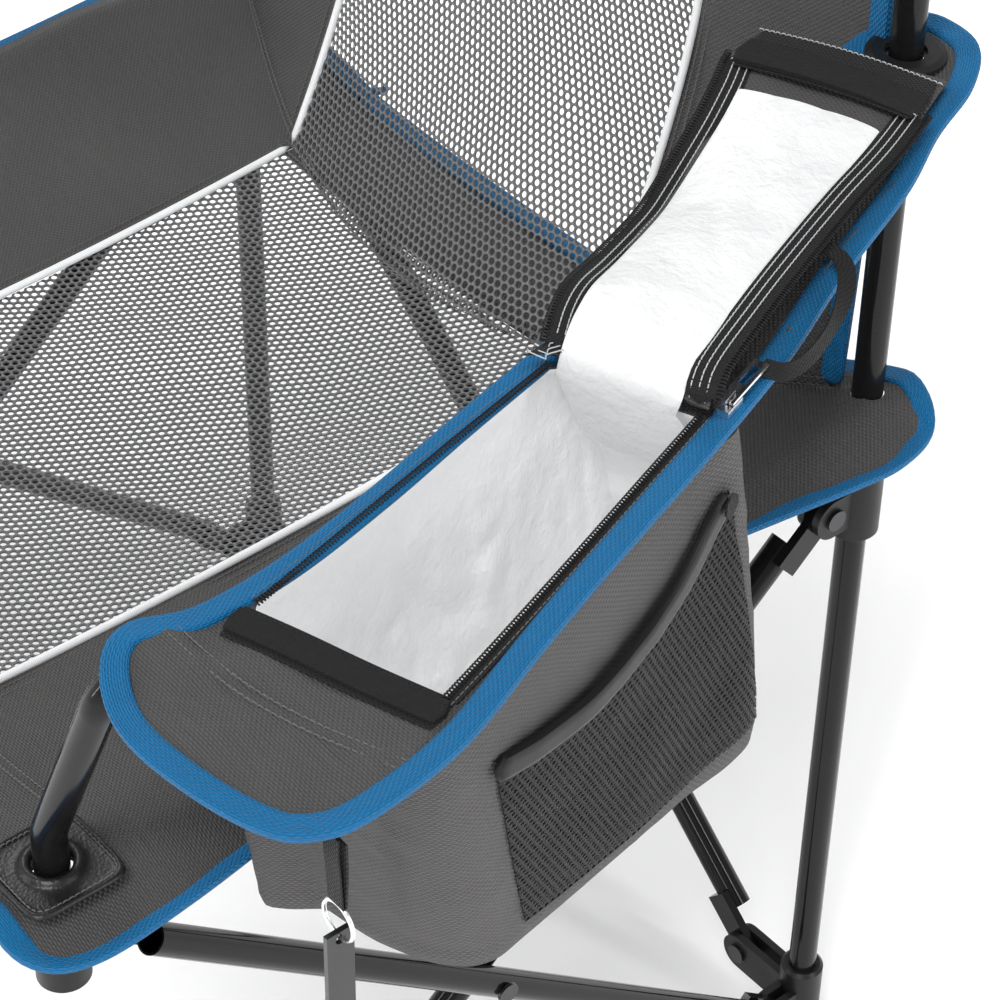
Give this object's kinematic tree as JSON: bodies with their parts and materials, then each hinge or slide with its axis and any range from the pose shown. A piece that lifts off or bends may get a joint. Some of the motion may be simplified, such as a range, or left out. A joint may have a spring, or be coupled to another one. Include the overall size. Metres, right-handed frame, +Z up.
{
  "type": "folding camp chair",
  "caption": "Folding camp chair with crossed steel tubes, a mesh sling seat and back, an insulated cooler bag hung in one wide arm and a mesh cup holder in the other.",
  "frame": {"origin": "on the floor, under the middle of the four feet", "axes": "+Z up, the sitter faces -Y, +X is the sitter's left, the side with the cooler"},
  "size_m": [0.88, 0.552, 0.996],
  "materials": {
    "tube_black": "gloss black powder coat",
    "moulded_black": "satin moulded nylon",
    "rivet_steel": "blackened steel",
    "fabric_grey": "woven polyester with blue bound edges",
    "mesh_grey": "open knitted mesh",
    "lining_white": "soft white film, wrinkled",
    "vinyl_black": "grained black vinyl",
    "webbing_black": "black woven tape",
    "zinc": "bright nickel plate",
    "opener_black": "black painted steel"
  },
  "bodies": {
    "left_rear": {"rear_post_left": "tube_black", "post_cap_left": "moulded_black", "rear_foot_left": "moulded_black", "rear_foot_pins_left": "rivet_steel", "arm_washer_left": "moulded_black", "arm_panel_left": "fabric_grey", "back_mesh": "mesh_grey", "back_side_left": "fabric_grey", "back_side_right": "fabric_grey"},
    "rear_first": {"rear_tube_first": "tube_black"},
    "rear_second": {"rear_tube_second": "tube_black", "centre_rivet_rear": "rivet_steel"},
    "right_rear": {"rear_post_right": "tube_black", "post_cap_right": "moulded_black", "rear_foot_right": "moulded_black", "rear_foot_pins_right": "rivet_steel", "arm_washer_right": "moulded_black", "arm_panel_right": "fabric_grey", "cup_holder": "mesh_grey", "cup_rim": "moulded_black"},
    "left_slider": {"slider_left": "moulded_black", "slider_pins_left": "rivet_steel"},
    "right_slider": {"slider_right": "moulded_black", "slider_pins_right": "rivet_steel"},
    "left_rising": {"left_tube_rising": "tube_black", "centre_rivet_left": "rivet_steel"},
    "left_falling": {"left_tube_falling": "tube_black"},
    "left_corner": {"corner_hub_left": "moulded_black", "corner_hub_pins_left": "rivet_steel", "arm_post_left": "tube_black"},
    "left_front_foot": {"front_foot_left": "moulded_black", "front_foot_pins_left": "rivet_steel"},
    "right_rising": {"right_tube_rising": "tube_black", "centre_rivet_right": "rivet_steel"},
    "right_falling": {"right_tube_falling": "tube_black"},
    "right_corner": {"corner_hub_right": "moulded_black", "corner_hub_pins_right": "rivet_steel", "arm_post_right": "tube_black"},
    "right_front_foot": {"front_foot_right": "moulded_black", "front_foot_pins_right": "rivet_steel"},
    "front_first": {"front_tube_first": "tube_black"},
    "front_second": {"front_tube_second": "tube_black", "centre_rivet_front": "rivet_steel"},
    "seat": {"seat_mesh": "mesh_grey", "seat_side_left": "fabric_grey", "seat_side_right": "fabric_grey", "corner_patch_left": "vinyl_black", "corner_patch_right": "vinyl_black"},
    "cooler": {"cooler_shell": "fabric_grey", "cooler_lining": "lining_white", "cooler_pocket": "mesh_grey", "closure_strip": "webbing_black"},
    "lid": {"cooler_lid": "fabric_grey"},
    "zip_slider": {"zipper_slider": "zinc"},
    "zip_pull": {"zipper_pull": "zinc"},
    "strap": {"strap": "webbing_black"},
    "opener": {"split_ring": "zinc", "bottle_opener": "opener_black"}
  },
  "joints": [
    {"name": "fold", "type": "hinge", "parent": "left_rear", "child": "rear_first", "pos_m": [0.22, 0.242, 0.035], "axis": [0, 1, 0], "range_deg": [0, 39], "deforming": ["arm_panel_left", "arm_panel_right", "back_mesh", "back_side_left", "back_side_right", "cup_holder", "cup_rim", "seat_mesh", "seat_side_left", "seat_side_right", "corner_patch_left", "corner_patch_right", "cooler_shell", "cooler_lining", "cooler_pocket", "closure_strip", "cooler_lid"]},
    {"name": "rear_cross", "type": "hinge", "parent": "rear_first", "child": "rear_second", "pos_m": [0, 0.242, 0.2275], "axis": [0, 1, 0], "range_deg": [-78, 0]},
    {"name": "right_rear_foot", "type": "hinge", "parent": "rear_second", "child": "right_rear", "pos_m": [-0.22, 0.242, 0.035], "axis": [0, 1, 0], "range_deg": [0, 39]},
    {"name": "left_slider_pivot", "type": "hinge", "parent": "rear_second", "child": "left_slider", "pos_m": [0.22, 0.242, 0.42], "axis": [0, 1, 0], "range_deg": [0, 39]},
    {"name": "right_slider_pivot", "type": "hinge", "parent": "rear_first", "child": "right_slider", "pos_m": [-0.22, 0.242, 0.42], "axis": [0, 1, 0], "range_deg": [-39, 0]},
    {"name": "left_side", "type": "hinge", "parent": "left_rear", "child": "left_rising", "pos_m": [0.265, 0.22, 0.035], "axis": [-1, 0, 0], "range_deg": [0, 39]},
    {"name": "left_cross", "type": "hinge", "parent": "left_rising", "child": "left_falling", "pos_m": [0.265, 0, 0.2275], "axis": [-1, 0, 0], "range_deg": [-78, 0]},
    {"name": "left_corner_pivot", "type": "hinge", "parent": "left_rising", "child": "left_corner", "pos_m": [0.265, -0.22, 0.42], "axis": [-1, 0, 0], "range_deg": [-39, 0]},
    {"name": "left_front_foot_pivot", "type": "hinge", "parent": "left_falling", "child": "left_front_foot", "pos_m": [0.265, -0.22, 0.035], "axis": [-1, 0, 0], "range_deg": [0, 39]},
    {"name": "right_side", "type": "hinge", "parent": "right_rear", "child": "right_rising", "pos_m": [-0.265, 0.22, 0.035], "axis": [-1, 0, 0], "range_deg": [0, 39]},
    {"name": "right_cross", "type": "hinge", "parent": "right_rising", "child": "right_falling", "pos_m": [-0.265, 0, 0.2275], "axis": [-1, 0, 0], "range_deg": [-78, 0]},
    {"name": "right_corner_pivot", "type": "hinge", "parent": "right_rising", "child": "right_corner", "pos_m": [-0.265, -0.22, 0.42], "axis": [-1, 0, 0], "range_deg": [-39, 0]},
    {"name": "right_front_foot_pivot", "type": "hinge", "parent": "right_falling", "child": "right_front_foot", "pos_m": [-0.265, -0.22, 0.035], "axis": [-1, 0, 0], "range_deg": [0, 39]},
    {"name": "front_side", "type": "hinge", "parent": "left_front_foot", "child": "front_first", "pos_m": [0.22, -0.242, 0.035], "axis": [0, 1, 0], "range_deg": [0, 39]},
    {"name": "front_cross", "type": "hinge", "parent": "front_first", "child": "front_second", "pos_m": [0, -0.242, 0.2275], "axis": [0, 1, 0], "range_deg": [-78, 0]},
    {"name": "seat_drop", "type": "hinge", "parent": "left_slider", "child": "seat", "pos_m": [0, 0.228, 0.484], "axis": [1, 0, 0], "range_deg": [0, 78]},
    {"name": "arm_gather", "type": "slide", "parent": "left_rear", "child": "cooler", "axis": [0, 0.8718, 0.4899], "range_m": [0, 0.17941]},
    {"name": "lid_hinge", "type": "hinge", "parent": "cooler", "child": "lid", "pos_m": [0.304, 0.012, 0.662], "axis": [0.9514, 0.3076, 0.0143], "range_deg": [0, 181]},
    {"name": "zip_run", "type": "slide", "parent": "cooler", "child": "zip_slider", "axis": [0.2536, -0.958, -0.1342], "range_m": [0, 0.135]},
    {"name": "pull_swing", "type": "hinge", "parent": "zip_slider", "child": "zip_pull", "pos_m": [0.37795, 0.02829, 0.65864], "axis": [0.9668, 0.2554, 0], "range_deg": [0, 120]},
    {"name": "strap_swing", "type": "hinge", "parent": "left_corner", "child": "strap", "pos_m": [0.431, -0.214, 0.607], "axis": [1, 0, 0], "range_deg": [-40, 6]},
    {"name": "ring_swing", "type": "hinge", "parent": "strap", "child": "opener", "pos_m": [0.431, -0.214, 0.5696], "axis": [1, 0, 0], "range_deg": [-45, 45]}
  ],
  "couplings": [
    {"joint": "rear_cross", "follows": "fold", "ratio": -2},
    {"joint": "right_rear_foot", "follows": "fold", "ratio": 1},
    {"joint": "left_slider_pivot", "follows": "fold", "ratio": 1},
    {"joint": "right_slider_pivot", "follows": "fold", "ratio": -1},
    {"joint": "left_side", "follows": "fold", "ratio": 1},
    {"joint": "left_cross", "follows": "fold", "ratio": -2},
    {"joint": "left_corner_pivot", "follows": "fold", "ratio": -1},
    {"joint": "left_front_foot_pivot", "follows": "fold", "ratio": 1},
    {"joint": "right_side", "follows": "fold", "ratio": 1},
    {"joint": "right_cross", "follows": "fold", "ratio": -2},
    {"joint": "right_corner_pivot", "follows": "fold", "ratio": -1},
    {"joint": "right_front_foot_pivot", "follows": "fold", "ratio": 1},
    {"joint": "front_side", "follows": "fold", "ratio": 1},
    {"joint": "front_cross", "follows": "fold", "ratio": -2},
    {"joint": "seat_drop", "follows": "fold", "ratio": 2},
    {"joint": "arm_gather", "follows": "fold", "m_per_rad": 0.26355}
  ]
}
